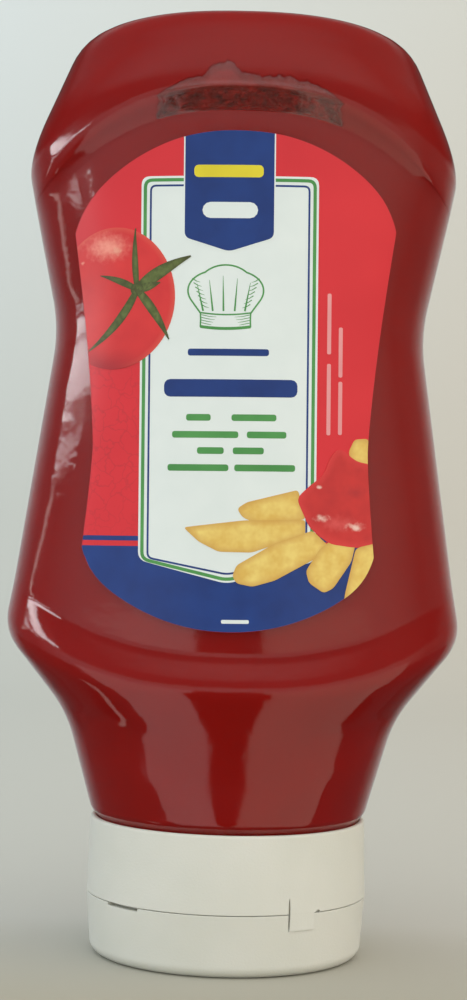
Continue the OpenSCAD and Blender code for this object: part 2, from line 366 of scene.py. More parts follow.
def pocket_top(x):
    """Height at which the sauce meets the wall again over the pocket: ragged, with one tall tongue."""
    aside = min(1, abs((x - pocket_middle) / pocket_half))
    tongue = 2.7 * math.exp(-(((x + 4.2) / 2.9) ** 2))
    ragged = 0.8 * noise.noise(Vector((x * 0.55, 3.1, 0))) + 0.35 * noise.noise(Vector((x * 1.9, 7.7, 0)))
    return pocket_ridge + (2.0 + tongue + ragged) * (1 - aside ** 4)


def pocket_depth(x, height):
    """How far the sauce stands back from the wall, in millimetres."""
    aside = abs(x - pocket_middle) + 0.9 * noise.noise(Vector((0, 0, height * 0.8)))
    if aside > pocket_half or height < pocket_foot:
        return 0
    room = min((pocket_half - aside) * 0.7, height - pocket_foot, pocket_top(x) - height)
    if room <= 0:
        return 0
    lumps = 1.3 + 1.1 * noise.fractal(Vector((x * 0.42, height * 0.6, 0.5)), 0.8, 2.1, 4)
    return min(1, room / 0.35) * 0.55 + min(1, room / 1.4) * max(0, 0.9 + lumps * ridge_share(height))


only(ketchup)
bpy.ops.object.mode_set(mode="EDIT")
bpy.ops.mesh.select_all(action="DESELECT")
bpy.ops.object.mode_set(mode="OBJECT")
heights = ketchup.data.attributes["height_up_front"].data
for face in ketchup.data.polygons:
    rows_of_face = [heights[i].value for i in face.vertices]
    face.select = (over_pocket(face.center) and min(rows_of_face) > pocket_foot - 1
                   and max(rows_of_face) < pocket_ridge + 6.5)
bpy.ops.object.mode_set(mode="EDIT")
bpy.ops.mesh.select_mode(type="FACE")
bpy.ops.mesh.subdivide(number_cuts=3)
bpy.ops.object.mode_set(mode="OBJECT")
heights = ketchup.data.attributes["height_up_front"].data
in_pocket = ketchup.data.attributes.new("pocket", "FLOAT", "POINT")
for vertex in ketchup.data.vertices:
    if over_pocket(vertex.co):
        height = heights[vertex.index].value
        depth = pocket_depth(vertex.co.x / MM, height)
        in_pocket.data[vertex.index].value = min(1, depth) * (0.35 + 0.65 * ridge_share(height))
        vertex.co.y += depth * MM
ketchup.data.attributes.remove(ketchup.data.attributes["height_up_front"])


def ketchup_sauce():
    """Thick tomato sauce: even and red at the wall, darker, lumpy and wet in the pocket."""
    material, tree, shader = new_material("ketchup")
    grain = add_group(tree, surface_grain, Shades=14.0, Grain=1.6, Strength=0.0)
    at_wall = mixed(tree, grain.outputs["Shade"], (0.385, 0.0058, 0.0032, 1), (0.455, 0.0084, 0.0046, 1))
    lumpy = mixed(tree, ranged(tree, grain.outputs["Grain"], 0, 1, 0.4, 0.6),
                  (0.230, 0.0030, 0.0025, 1), (0.440, 0.0090, 0.0062, 1))
    pocket = node(tree, "Attribute", attribute_name="pocket").outputs["Fac"]
    bump = node(tree, "Bump", in_Distance=0.0008, in_Height=grain.outputs["Grain"], in_Strength=pocket)
    feed(tree, shader, Base_Color=mixed(tree, pocket, at_wall, lumpy), Roughness=0.32,
         Specular_IOR_Level=0.10, Normal=bump.outputs["Normal"])
    return material


ketchup.data.materials.append(ketchup_sauce())
smooth(ketchup, 60)
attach(ketchup, "root")
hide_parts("ketchup")


# ------------------------------------------------------------------------------
# The two labels
# Satin printed film, front and back, bonded to the flat panels. The front one sits a little left of the
# middle. They are plain red film with a faint pattern like cracked plaster at the lower left.

label_lift = 0.35
label_film = 0.30
panel_low = belts[7]
panel_high = belts[9]
panel_span = panel_high[4] - panel_low[4]
waist_height = 72.0
waist_share = (waist_height - panel_low[4]) / panel_span
top_width, waist_width, foot_width = 65, 52, 59
top_gap, top_drop = 4.2, 7
foot_gap, foot_rise = 5, 8
corner_cut = 4
front_shift = 1.3

panel_sides = [(row[0].y, row[0].x) for row in wall_rows(0)
               if belts[6][1] < row[0].y < belts[11][1]]


def panel_half_width(height):
    """Half width of the bottle at the panel, looked up at a height past its side."""
    for (low, low_width), (high, high_width) in zip(panel_sides, panel_sides[1:]):
        if low <= height <= high:
            return low_width + (high_width - low_width) * (height - low) / (high - low)
    return panel_sides[0][1] if height < panel_sides[0][0] else panel_sides[-1][1]


def panel_point(x, share, lift):
    """A point over the front panel, x millimetres from its middle and a share of the way up it."""
    side_height = panel_low[1] + share * (panel_high[1] - panel_low[1])
    front_height = panel_low[4] + share * panel_span
    half_width = panel_half_width(side_height) + lift
    frontness = max(0, 1 - (abs(x) / half_width) ** 2.5)
    height = rim_z + side_height + (front_height - side_height) * frontness
    return Vector((x, -(panel_low[3] + lift) * frontness ** 0.4, height))


def label_half_width(share):
    """Half width of a label, a share of the way up the panel."""
    if share < waist_share:
        return (waist_width + (foot_width - waist_width) * ((waist_share - share) / waist_share) ** 1.3) / 2
    above = min(1, (share - waist_share) / (1 - waist_share))
    return (waist_width + (top_width - waist_width) * above ** 1.3) / 2


def label_share(across, up):
    """How far up the panel a label's point lies; its edges are arched and its corners rounded."""
    corner = corner_cut * abs(across) ** 14
    top = 1 - (top_gap + top_drop * across ** 2 + corner) / panel_span
    foot = (foot_gap + foot_rise * across ** 2 + corner) / panel_span
    return foot + up * (top - foot)


def new_label(name, shift):
    label, places = new_grid(name, 84, 110)
    for vertex, (across, up) in zip(label.data.vertices, places):
        u = 2 * across - 1
        u = u * (1.25 - 0.25 * u * u)
        share = label_share(u, up)
        vertex.co = panel_point(u * label_half_width(share) - shift, share, label_lift) * MM
    thicken(label, label_film)
    return label


def turn_to_back(piece):
    """Turns a piece that was made for the front half round the bottle's axis."""
    for vertex in piece.data.vertices:
        vertex.co = Vector((-vertex.co.x, -vertex.co.y, vertex.co.z))
    piece.data.update()


def satin_ink(name, light, dark, shades=9.0):
    """Printed film of one colour, between a light and a dark shade of it."""
    material, tree, shader = new_material(name)
    grain = add_group(tree, surface_grain, Shades=shades, Grain=0.35, Strength=0.12)
    colour = mixed(tree, ranged(tree, grain.outputs["Shade"], 0, 1), linear(*dark), linear(*light))
    feed(tree, shader, Base_Color=colour, Roughness=ranged(tree, grain.outputs["Grain"], 0.30, 0.40),
         Specular_IOR_Level=0.5, Normal=grain.outputs["Normal"])
    return material, tree, shader, colour


def make_soft_spot():
    """A mask that is 1 in the middle of an oval spot and fades to 0 at its rim; sizes in metres."""
    group, start, end = new_group(
        "soft_spot",
        [("Middle", "NodeSocketVector", (0, 0, 0)), ("Size", "NodeSocketVector", (0.01, 0.1, 0.01)),
         ("Ragged", "NodeSocketFloat", 0.0), ("Fade", "NodeSocketFloat", 0.5)],
        [("Mask", "NodeSocketFloat")])
    place = node(group, "TexCoord").outputs["Object"]
    away = worked(group, "VectorMath", "SUBTRACT", place, start.outputs["Middle"], out="Vector")
    scaled = worked(group, "VectorMath", "DIVIDE", away, start.outputs["Size"], out="Vector")
    length = worked(group, "VectorMath", "LENGTH", scaled)
    rough = node(group, "TexNoise", in_Vector=place, in_Scale=1100.0, in_Detail=2.0)
    wobble = worked(group, "Math", "MULTIPLY_ADD", rough.outputs["Fac"], start.outputs["Ragged"], length)
    mask = node(group, "MapRange", interpolation_type="SMOOTHSTEP", in_Value=wobble,
                in_From_Min=worked(group, "Math", "SUBTRACT", 1.0, start.outputs["Fade"]),
                in_From_Max=1.0, in_To_Min=1.0, in_To_Max=0.0)
    feed(group, end, Mask=mask.outputs["Result"])
    return group


soft_spot = make_soft_spot()


def spot(tree, x, z, width, height, ragged=0.0, fade=0.5):
    """A soft spot on the front label, placed and sized in millimetres."""
    made = add_group(tree, soft_spot, Middle=(x * MM, -0.027, z * MM),
                     Size=(width * MM / 2, 0.1, height * MM / 2), Ragged=ragged, Fade=fade)
    return made.outputs["Mask"]


def red_film():
    """Red printed film with fine dark cracks, strongest low on the left."""
    material, tree, shader, plain = satin_ink("red label film", (228, 40, 52), (217, 33, 46), shades=26.0)
    place = node(tree, "TexCoord").outputs["Object"]
    bend = node(tree, "TexNoise", in_Vector=place, in_Scale=260.0, in_Detail=3.0).outputs["Color"]
    bent = worked(tree, "VectorMath", "MULTIPLY_ADD", bend, (0.006, 0.006, 0.006), place, out="Vector")
    cracks = node(tree, "TexVoronoi", feature="DISTANCE_TO_EDGE", in_Vector=bent, in_Scale=330.0)
    crack = ranged(tree, cracks.outputs["Distance"], 0.35, 0.0, 0.0, 0.06)
    crack = worked(tree, "Math", "MULTIPLY", crack, spot(tree, -26, 101, 40, 66, fade=0.9))
    feed(tree, shader, Base_Color=mixed(tree, crack, plain, linear(168, 34, 44)))
    return material


red_material = red_film()
front_label = new_label("front_label", front_shift)
back_label = new_label("back_label", 0)
turn_to_back(back_label)
for label, replaced in ((front_label, "label_front"), (back_label, "label_back")):
    label.data.materials.append(red_material)
    smooth(label)
    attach(label, "root")
    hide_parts(replaced)


# ------------------------------------------------------------------------------
# The fields of colour printed on the labels
# Each ink is a thin sheet of the label's own satin film. A field is drawn flat in millimetres, across from
# the label's middle and up from the floor, cut into small faces and then laid on the panel.

print_askew = 0.0157
print_level = 114


def label_place(x, z, shift):
    """Where a point of the flat drawing comes on the panel: kept inside the label, with its share up it."""
    x, z = x - print_askew * (z - print_level), z + print_askew * x
    low, high = 0.0, 1.0
    for _ in range(22):
        share = (low + high) / 2
        if panel_point(x - shift, share, label_lift).z < z:
            low = share
        else:
            high = share
    for _ in range(4):
        limit = label_half_width(share) - 0.02
        x = max(-limit, min(limit, x))
        across = abs(x) / label_half_width(share)
        share = max(label_share(across, 0.0004), min(label_share(across, 0.9996), share))
    return x, share


def kept_inside(point, shift):
    """A point of the flat drawing, moved to the label's edge if it lies outside."""
    x, share = label_place(*point, shift)
    z = panel_point(x - shift, share, label_lift).z
    return x + print_askew * (z - print_level), z - print_askew * x


def lay_on_label(piece, layer, shift, back):
    """Lays a flat drawing on the label, layer hundredths of a millimetre proud of it."""
    for vertex in piece.data.vertices:
        x, share = label_place(vertex.co.x, vertex.co.y, shift)
        vertex.co = panel_point(x - shift, share, label_lift + layer * 0.01) * MM
    piece.data.update()
    thicken(piece, layer * 0.01 + 0.02)
    if back:
        turn_to_back(piece)


def finish_print(name, drawings, layer, ink, back=False):
    """Joins flat drawings of one ink into one piece and lays it on the front or the back label."""
    bpy.ops.object.select_all(action="DESELECT")
    for drawing in drawings:
        drawing.select_set(True)
    bpy.context.view_layer.objects.active = drawings[0]
    if len(drawings) > 1:
        bpy.ops.object.join()
    piece = named(drawings[0], name)
    lay_on_label(piece, layer, 0 if back else front_shift, back)
    piece.data.materials.append(ink)
    smooth(piece)
    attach(piece, "root")
    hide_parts("label_back" if back else "label_front")


def drawn_field(outline, cell=1.2, edge_fade=0, shift=None):
    """A flat field with the given outline, cut into faces no wider than a cell. With the shift of a label
    it is cut off at that label's edge."""
    full = outline
    if shift is not None:
        outline = [kept_inside(point, shift) for point in outline]
    bpy.ops.mesh.primitive_circle_add(vertices=len(outline), radius=1, fill_type="NGON")
    field = bpy.context.object
    for vertex, (x, z) in zip(field.data.vertices, outline):
        vertex.co = (x, z, 0)
    bpy.ops.object.mode_set(mode="EDIT")
    for axis, step in ((0, cell), (1, cell * 1.6)):
        low = min(point[axis] for point in outline)
        high = max(point[axis] for point in outline)
        count = math.ceil((high - low) / step)
        for i in range(1, count):
            cut = low + (high - low) * i / count + 0.003
            bpy.ops.mesh.select_all(action="SELECT")
            bpy.ops.mesh.bisect(plane_co=(cut, 0, 0) if axis == 0 else (0, cut, 0),
                                plane_no=(1, 0, 0) if axis == 0 else (0, 1, 0), threshold=0.0001)
    bpy.ops.mesh.select_all(action="SELECT")
    bpy.ops.mesh.normals_make_consistent(inside=False)
    bpy.ops.object.mode_set(mode="OBJECT")
    if field.data.polygons[0].normal.z < 0:
        field.data.flip_normals()
    if edge_fade:
        inside = field.data.attributes.new("inside", "FLOAT", "POINT")
        for vertex in field.data.vertices:
            point = Vector(vertex.co.xy)
            edges = [nearest_on_edge(point, Vector(full[i - 1]), Vector(full[i])) for i in range(len(full))]
            inside.data[vertex.index].value = min(1, min(edges) / edge_fade)
    return field


def nearest_on_edge(point, start, end):
    along = end - start
    share = max(0, min(1, (point - start).dot(along) / max(1e-9, along.length_squared)))
    return (point - start - along * share).length


def drawn_line(path, width, closed=False):
    """A flat line along a path; its width is one number, or one for each point of the path."""
    points = [Vector(point) for point in path]
    count = len(points)
    line, places = new_grid("line", count - (0 if closed else 1), 1)
    for vertex, (along, across) in zip(line.data.vertices, places):
        i = round(along * (count - (0 if closed else 1)))
        at = points[i % count]
        before = points[i - 1] if closed or i > 0 else at
        after = points[(i + 1) % count] if closed or i < count - 1 else at
        first = (at - before).normalized() if before != at else (after - at).normalized()
        second = (after - at).normalized() if after != at else first
        out = Vector((-(first.y + second.y), first.x + second.x)).normalized()
        stretch = 1 / max(0.5, out.dot(Vector((-first.y, first.x))))
        wide = width if isinstance(width, (int, float)) else width[i % count]
        spot_at = at + out * (across - 0.5) * wide * stretch
        vertex.co = (spot_at.x, spot_at.y, 0)
    if closed:
        open_all(line)
        bpy.ops.mesh.remove_doubles(threshold=0.0001)
        bpy.ops.object.mode_set(mode="OBJECT")
    return line


def bar(x, z, width, height, round_share=0.35):
    """The outline of a plain bar with its corners a little rounded."""
    reach = min(width, height) * round_share
    outline = []
    for turn, (sx, sz) in enumerate(((1, -1), (1, 1), (-1, 1), (-1, -1))):
        for i in range(4):
            angle = math.radians(-90 + 90 * turn + 30 * i)
            outline.append((x + sx * (width / 2 - reach) + reach * math.cos(angle),
                            z + sz * (height / 2 - reach) + reach * math.sin(angle)))
    return outline


def drawn_bars(*bars):
    """Plain bars, each given by its middle across and up, its width, its height and how round it is."""
    return [drawn_field(finely(bar(*one), 1, True)) for one in bars]


def finely(path, step, closed=False):
    """The path with points added so that none is further than a step from the next."""
    fine = []
    for i in range(len(path) if closed else len(path) - 1):
        start, end = Vector(path[i]), Vector(path[(i + 1) % len(path)])
        count = max(1, math.ceil((end - start).length / step))
        fine += [tuple(start.lerp(end, k / count)) for k in range(count)]
    return fine if closed else fine + [tuple(path[-1])]


def round_corners(corners, reach):
    """A closed outline through the corners, each rounded."""
    outline = []
    for i, corner in enumerate(corners):
        before, after = Vector(corners[i - 1]), Vector(corners[(i + 1) % len(corners)])
        outline += [tuple(point) for point in rounded(before, Vector(corner), after, reach, 5)]
    return outline


def shield(middle, half, top, foot, point, reach):
    """The outline of a field with a level top and a pointed foot."""
    return round_corners([(middle - half, top), (middle - half, foot), (middle, point), (middle + half, foot),
                          (middle + half, top)], reach)


def blade(start, end, width, bend):
    """The outline of a leaf: from start to end, widest near the middle, bent to its left."""
    tip = 0.12
    steps = 14
    start, end = Vector(start), Vector(end)
    along = end - start
    left = Vector((-along.y, along.x)).normalized()
    sides = ([], [])
    for i in range(steps + 1):
        t = i / steps
        middle = start + along * t + left * bend * 4 * t * (1 - t)
        full = width / 2 * (tip + (1 - tip) * math.sin(math.pi * (0.12 + 0.88 * t) ** 0.8))
        sides[0].append(tuple(middle - left * full))
        sides[1].append(tuple(middle + left * full))
    return sides[0] + sides[1][::-1]


white_ink = satin_ink("white print", (232, 240, 240), (227, 236, 236))[0]
navy_ink = satin_ink("navy print", (15, 60, 138), (11, 51, 124), shades=6.0)[0]
green_ink = satin_ink("green print", (84, 160, 84), (70, 146, 74))[0]
yellow_ink = satin_ink("yellow print", (234, 218, 40), (222, 204, 32))[0]
pink_ink = satin_ink("pale pink print", (240, 160, 162), (232, 148, 152))[0]


def across_label(low, high):
    """A band from one height to another, wide enough to reach past a label's edges."""
    reach = 34
    return finely([(-reach, high), (-reach, low), (reach, low), (reach, high)], 1.2, closed=True)


def print_border(middle, half, back):
    """The white centre field with its green and navy lines."""
    top, foot, point = 150.6, 78.6, 74.3
    name = "back" if back else "front"
    outline = shield(middle, half, top, foot, point, 1.6)
    finish_print(name + "_print_white", [drawn_field(finely(outline, 1.2, closed=True))], 4, white_ink, back)
    for inwards, width, ink, ink_name in ((0.72, 0.62, green_ink, "green"), (1.78, 0.36, navy_ink, "navy")):
        path = shield(middle, half - inwards, top - inwards, foot + inwards * 0.25, point + inwards,
                      1.6 - inwards / 3)
        line = drawn_line(finely(path, 1.2, closed=True), width, closed=True)
        finish_print(f"{name}_print_{ink_name}_border", [line], 6, ink, back)


def print_foot(back):
    """The navy foot with a thin line over it."""
    shift = 0 if back else front_shift
    foot = [drawn_field(across_label(*heights), shift=shift) for heights in ((60, 81.2), (82.2, 83.1))]
    finish_print("back_print_foot" if back else "front_print_foot", foot, 2, navy_ink, back)


for back, middle, half in ((False, -0.65, 16.65), (True, 0, 21.5)):
    print_foot(back)
    print_border(middle, half, back)

# The banner and the bars that stand in the words' places on the front label.

banner_edge = finely(shield(-0.75, 8.6, 162.0, 139.0, 136.2, 1.2), 1.2, closed=True)
banner = finely(shield(-0.75, 8.35, 162.0, 139.1, 136.45, 1.1), 1.2, closed=True)
finish_print("front_print_banner_edge", [drawn_field(banner_edge, shift=front_shift)], 8, white_ink)
finish_print("front_print_banner", [drawn_field(banner, shift=front_shift)], 9, navy_ink)
finish_print("front_print_banner_bar", drawn_bars((-0.9, 151.5, 13.0, 2.3)), 11, yellow_ink)
finish_print("front_print_banner_pale_bar", drawn_bars((-0.6, 144.2, 10.4, 3.0, 0.5)), 11, white_ink)
navy_bars = [(-0.7, 117.6, 15.2, 1.3), (-0.2, 110.9, 25.0, 3.3)]
finish_print("front_print_navy_bars", drawn_bars(*navy_bars), 6, navy_ink)
green_bars = [(x, z, width, 1.25) for x, z, width in
              ((-6.2, 105.4, 4.6), (4.2, 105.4, 8.4), (-4.9, 102.2, 12.4), (6.6, 102.2, 7.4),
               (-3.9, 99.2, 5.0), (3.2, 99.2, 5.8), (-6.2, 96.0, 11.4), (6.3, 96.0, 11.4))]
finish_print("front_print_green_bars", drawn_bars(*green_bars), 6, green_ink)
side_bars = [(x, z, 0.75, height) for x, z, height in
             ((18.2, 109.0, 13.4), (18.2, 123.2, 11.4), (20.4, 107.4, 10.0), (20.4, 117.9, 9.4))]
finish_print("front_print_side_bars", drawn_bars(*side_bars), 3, pink_ink)
finish_print("front_print_foot_bar", drawn_bars((1.0, 67.2, 5.2, 0.7)), 4, white_ink)

# A cook's hat in plain green lines: a puffed top with pleats over a plain band.

hat_x, hat_z = -1.3, 128.6
band_half = 4.7
band_top, band_foot = 125.0, 122.4


def hat_puff(turn):
    """A point of the hat's puffed top, its edge in five scallops."""
    swell = 1 + 0.09 * abs(math.sin(2.5 * (turn - math.radians(-18))))
    return hat_x + 6.6 * swell * math.cos(turn), hat_z + 4.9 * swell * math.sin(turn)


def hat_stroke(side, points, widths):
    """A line on one side of the hat, through points that are measured from its middle outwards."""
    return drawn_line([(hat_x + out * side, level) for out, level in points], widths)


puff = [hat_puff(math.radians(a)) for a in range(-18, 199, 4)]
puff = [(hat_x + band_half, 124.9)] + puff + [(hat_x - band_half, 124.9)]
hat_lines = [drawn_line(finely(puff, 0.8), 0.30)]
for out in (-4.2, -2.4, -0.4, 1.7, 3.6):
    pleat = [(out * (1 + 0.07 * i), 125.3 + (6.8 - abs(out) * 0.4) * i / 4) for i in range(5)]
    hat_lines.append(hat_stroke(1, pleat, [0.34, 0.30, 0.24, 0.16, 0.06]))
for low, thick in ((band_top, 0.28), (band_foot, 0.55)):
    edge = [(band_half * i / 5, low - 0.35 * (1 - (i / 5) ** 2)) for i in range(-5, 6)]
    hat_lines.append(hat_stroke(1, edge, thick))
side_line = [(band_half, 125.0), (band_half - 0.05, 123.7), (band_half, 122.3)]
for side in (-1, 1):
    hat_lines.append(hat_stroke(side, side_line, 0.28))
    for i in range(4):
        level = 124.6 - 0.5 * i
        strokes = [(4.5, level), (3.1, level - 0.3), (1.7 + 0.3 * i, level - 0.4)]
        hat_lines.append(hat_stroke(side, strokes, [0.14, 0.12, 0.05]))
    for i in range(7):
        out, level = 6.3 - 0.28 * i, 131.4 - 0.8 * i
        strokes = [(out, level), (out - 0.8, level - 0.5), (out - 1.5, level - 0.7)]
        hat_lines.append(hat_stroke(side, strokes, [0.18, 0.14, 0.05]))
finish_print("front_print_hat", hat_lines, 6, green_ink)


# ------------------------------------------------------------------------------
# The tomato printed on the front label
# A ripe tomato with its green calyx, on the label's left, half over the white field and cut off by the
# label's edge. Its shades and highlights are in the inks.

tomato_x, tomato_z = -22.4, 127.8


def tomato_edge(turn):
    swell = 1 - 0.05 * math.sin(2 * turn)
    z = 13.3 * swell * math.sin(turn)
    return tomato_x + 11.6 * swell * math.cos(turn) + 0.1 * z, tomato_z + z


tomato_outline = [tomato_edge(math.radians(a)) for a in range(0, 360, 5)]
tomato = drawn_field(tomato_outline, 1.0, edge_fade=3.0, shift=front_shift)


def shaded_ink(name, light, dark, shades, rim, spots=()):
    """Printed film that turns to another colour at a drawing's rim, with soft spots over it. The rim is
    given by share, reach and colour; a spot by its middle, width, height, raggedness, fade and colour."""
    material, tree, shader, plain = satin_ink(name, light, dark, shades=shades)
    inside = node(tree, "Attribute", attribute_name="inside").outputs["Fac"]
    colour = mixed(tree, ranged(tree, inside, rim[0], 0, 0, rim[1]), plain, linear(*rim[2]))
    for *place, spot_colour in spots:
        colour = mixed(tree, spot(tree, *place), colour, linear(*spot_colour))
    feed(tree, shader, Base_Color=colour)
    return material


tomato_ink = shaded_ink("tomato print", (228, 50, 50), (216, 42, 46), 7.0, (0.55, 0.35, (228, 96, 78)), (
    (-26, 113.6, 30, 12, 0.0, 0.95, (178, 32, 42)),
    (-25.4, 137.2, 15, 9, 0.5, 0.9, (255, 166, 148)),
    (-23.6, 136.4, 4.6, 3.4, 0.9, 0.6, (242, 160, 138)),
    (-30.3, 134.4, 2.6, 2.2, 1.0, 0.6, (242, 160, 138))))
finish_print("front_print_tomato", [tomato], 10, tomato_ink)

# Where each leaf of the calyx ends, its width and its bend.
calyx_x, calyx_z = -18.0, 129.4
leaves = [(-18.4, 140.9, 1.2, 0.25), (-7.9, 135.6, 2.4, 0.5), (-25.1, 132.2, 1.3, -0.3),
          (-27.4, 117.9, 1.6, 1.0), (-11.9, 120.0, 1.7, 0.4), (-13.6, 130.7, 1.6, -0.1)]
calyx = [drawn_field(finely(blade((calyx_x, calyx_z), (x, z), width, bend), 0.8, True), 0.8, 0.5)
         for x, z, width, bend in leaves]
calyx_turns = [math.radians(a) for a in range(0, 360, 15)]
calyx_middle = [(calyx_x + 1.25 * math.cos(turn), calyx_z + 1.25 * math.sin(turn)) for turn in calyx_turns]
calyx.append(drawn_field(calyx_middle, 0.8, 0.5))
leaf_ink = shaded_ink("leaf print", (112, 126, 66), (80, 96, 42), 1.6, (0.6, 0.8, (62, 58, 34)))
finish_print("front_print_calyx", calyx, 13, leaf_ink)


# ------------------------------------------------------------------------------
# The chips and ketchup printed on the front label
# A handful of golden chips with a dollop of ketchup, low on the right, over the white field and the foot.

# Each chip's corners, once round; the later ones lie over the earlier ones.
chips = [
    [(22, 99), (23.2, 101.6), (25.8, 101.8), (26.6, 99.8), (28, 99.2), (28, 96), (23.4, 96.6)],
    [(1.2, 88.4), (3, 89.6), (12.6, 92), (14, 86.5), (5.4, 85.4), (2.2, 86.8)],
    [(-8.8, 84.8), (-7.4, 85), (2.4, 86.2), (14, 86.4), (14, 83.6), (4, 80.2), (-2.2, 80.3), (-6, 82.2)],
    [(0.4, 75.8), (1.2, 77.8), (8.4, 82), (15.4, 84.4), (18.4, 81.6), (16.4, 79.4), (8.4, 75), (4.2, 73.8),
     (1.2, 74.4)],
    [(21.4, 70), (21.6, 72.4), (23.6, 81), (29, 83.2), (29, 79.4), (27, 74.6), (22.6, 70.2)],
    [(14.2, 76.8), (16.8, 81), (19, 82.6), (23.6, 82), (22.8, 78.6), (19.4, 73.6), (17.6, 72.7),
     (14.8, 74.6)],
]
chip_ink = shaded_ink("chip print", (243, 214, 120), (228, 186, 88), 2.6, (0.8, 0.9, (212, 162, 78)))
for i, corners in enumerate(chips):
    chip = drawn_field(finely(round_corners(corners, 0.7), 0.9, True), 0.9, 1.3, front_shift)
    finish_print(f"front_print_chip_{i + 1}", [chip], 8 + i, chip_ink)

dollop_corners = [(20.5, 100), (23.6, 97.4), (30, 96.4), (30, 83.4), (28, 82.2), (23.6, 81.2), (18.6, 81.9),
                  (14.8, 84.9), (12.3, 90.4), (14.8, 92.8), (17.4, 94.8), (18.8, 98.6)]
dollop_ink = shaded_ink("dollop print", (214, 46, 44), (194, 36, 38), 5.0, (0.6, 0.8, (228, 60, 62)), (
    (22.5, 92.0, 9, 5, 0.5, 0.9, (186, 38, 42)),
    (19.4, 86.0, 13, 6, 0.6, 0.9, (224, 84, 82)),
    (16.2, 87.0, 6.0, 3.8, 0.9, 0.7, (244, 204, 192)),
    (22.6, 85.5, 8.0, 3.4, 0.9, 0.7, (244, 204, 192)),
    (15.6, 92.8, 3.4, 1.5, 0.9, 0.7, (244, 204, 192))))
dollop = drawn_field(finely(round_corners(dollop_corners, 1.3), 0.9, True), 0.9, 1.6, front_shift)
finish_print("front_print_dollop", [dollop], 15, dollop_ink)


# ------------------------------------------------------------------------------
# The print on the back label
# A plain heading and two columns of fine lines, as the back of such a bottle has, with nothing to read.

headings = [(0, 144.6, 26, 2.6), (-8.8, 137.6, 22, 1.2), (10.4, 137.6, 18.4, 1.2)]
finish_print("back_print_headings", drawn_bars(*headings), 6, navy_ink, back=True)
fine_lines = []
for row in range(14):
    short = 3.2 * (noise.noise(Vector((row * 1.7, 0.4, 0))) + 0.5)
    for column, full in ((-10.2, 19.0), (10.6, 17.6)):
        if row not in (6, 7) or column < 0:
            width = full - (short if (row + (column > 0)) % 3 == 0 else 0)
            fine_lines.append((column - (full - width) / 2, 133.6 - 3.1 * row, width, 0.8))
finish_print("back_print_lines", drawn_bars(*fine_lines), 6, green_ink, back=True)
finish_print("back_print_foot_bar", drawn_bars((0, 70.0, 14, 1.2)), 4, white_ink, back=True)


# ------------------------------------------------------------------------------
# The collar
# The upper part of the white flip-top cap, which is screwed to the neck. Injection-moulded in matte white
# plastic. Its hinge strap reaches down past the seam into the lid, with a slit on its left side.

cap_radius = 27.7
cap_height = rim_z
seam_height = 12.0
seam_gap = 0.14
strap_turn = 32
strap_width = 5.6
slit_turn = strap_turn - 6
slit_size = (0.42, 3.2, 6.4)
cap_sides = 192


def arc(middle, radius, start, end, steps=6):
    """Points of a quarter circle in an outline of radius and height pairs."""
    turns = [math.radians(start + (end - start) * i / steps) for i in range(steps + 1)]
    return [(middle[0] + radius * math.cos(turn), middle[1] + radius * math.sin(turn)) for turn in turns]


def turned(name, line):
    """A closed outline of radius and height pairs, in millimetres, spun round the bottle's axis."""
    bpy.ops.mesh.primitive_circle_add(vertices=len(line), radius=1, fill_type="NOTHING")
    piece = named(bpy.context.object, name)
    for vertex, (radius, height) in zip(piece.data.vertices, line):
        vertex.co = (radius * MM, 0, height * MM)
    open_all(piece)
    bpy.ops.mesh.spin(steps=cap_sides, angle=2 * math.pi, center=(0, 0, 0), axis=(0, 0, 1))
    bpy.ops.object.mode_set(mode="OBJECT")
    close_seams(piece)
    return piece


def block(size, turn, outwards, middle_height, lens=False):
    """A block against the cap's wall, turned from the front; with lens its face is an upright oval."""
    if lens:
        bpy.ops.mesh.primitive_cylinder_add(vertices=24, radius=0.5, depth=1, rotation=(math.pi / 2, 0, 0))
        bpy.ops.object.transform_apply(location=False, rotation=True, scale=False)
    else:
        bpy.ops.mesh.primitive_cube_add(size=1)
    piece = bpy.context.object
    outside = Matrix.Translation((0, -outwards * MM, middle_height * MM))
    place = Matrix.Rotation(math.radians(turn), 4, "Z") @ outside
    for vertex in piece.data.vertices:
        vertex.co = place @ Vector(vertex.co[i] * size[i] * MM for i in range(3))
    return piece


def combine(piece, other, operation):
    boolean = piece.modifiers.new(operation, "BOOLEAN")
    boolean.operation = operation
    boolean.solver = "EXACT"
    boolean.object = other
    apply_all(piece)
    bpy.data.objects.remove(other)


def white_plastic():
    """Matte white moulding, slightly warm, with a fine even grain and faint clouds."""
    material, tree, shader = new_material("matte white cap plastic")
    grain = add_group(tree, surface_grain, Shades=16.0, Grain=0.45, Strength=0.35)
    clouds = ranged(tree, grain.outputs["Shade"], 0, 1)
    feed(tree, shader, Base_Color=mixed(tree, clouds, (0.68, 0.68, 0.615, 1), (0.72, 0.715, 0.655, 1)),
         Roughness=ranged(tree, grain.outputs["Grain"], 0.46, 0.58), Normal=grain.outputs["Normal"],
         Subsurface_Weight=0.15, Subsurface_Radius=(0.0015, 0.0013, 0.0010), Subsurface_Scale=1.0)
    return material


